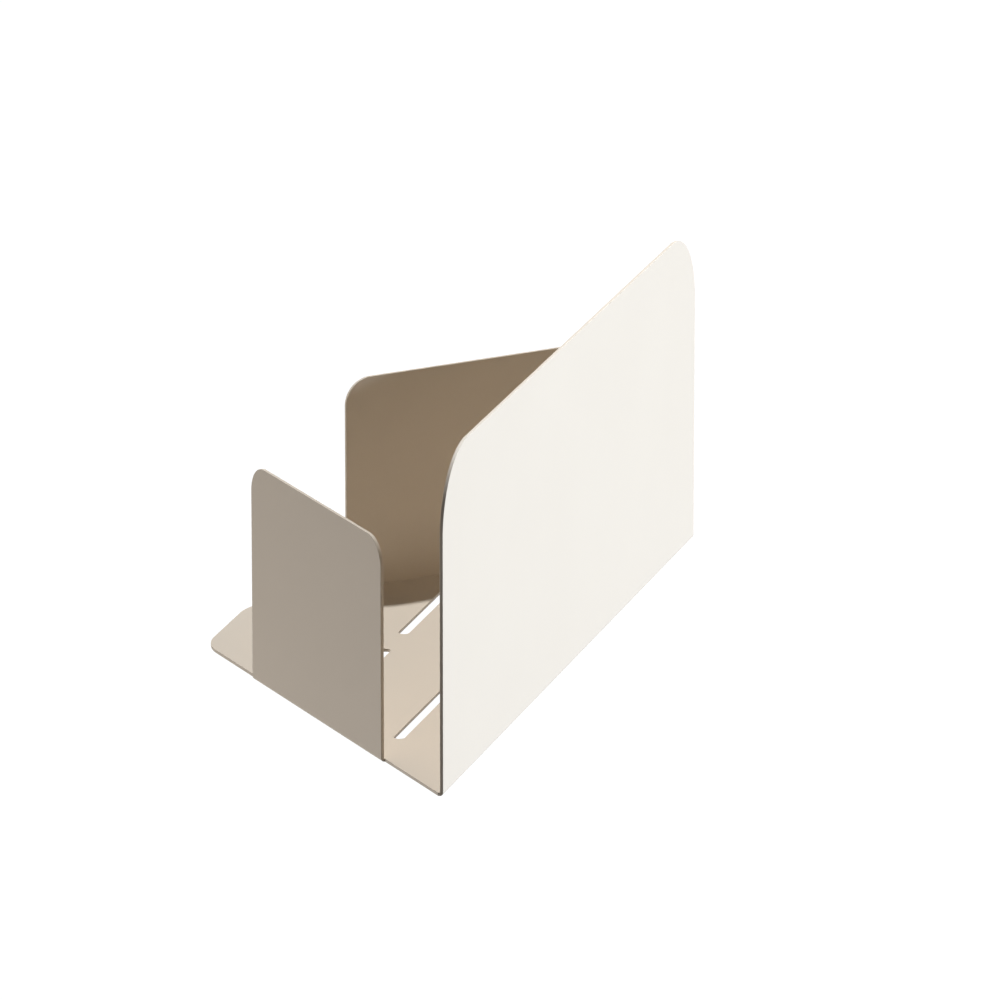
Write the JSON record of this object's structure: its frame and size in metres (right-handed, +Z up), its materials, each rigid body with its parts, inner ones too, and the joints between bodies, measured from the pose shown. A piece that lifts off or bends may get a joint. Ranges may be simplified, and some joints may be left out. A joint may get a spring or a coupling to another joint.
{
  "type": "corner shelf",
  "caption": "Folded steel corner shelf: a slotted triangular plate with a tall front panel and a low flange against each wall.",
  "frame": {"origin": "on the plate's underside, under the middle of the shelf's length and depth", "axes": "+Z up, +X along the front panel, +Y away from the front panel, into the corner of the room"},
  "size_m": [0.3, 0.1292, 0.12],
  "materials": {
    "powder_coat": "pale warm sand powder coat, matt, with a fine texture"
  },
  "bodies": {
    "root": {"shelf_plate": "powder_coat", "front_panel": "powder_coat", "left_wall_flange": "powder_coat", "right_wall_flange": "powder_coat"}
  },
  "joints": []
}
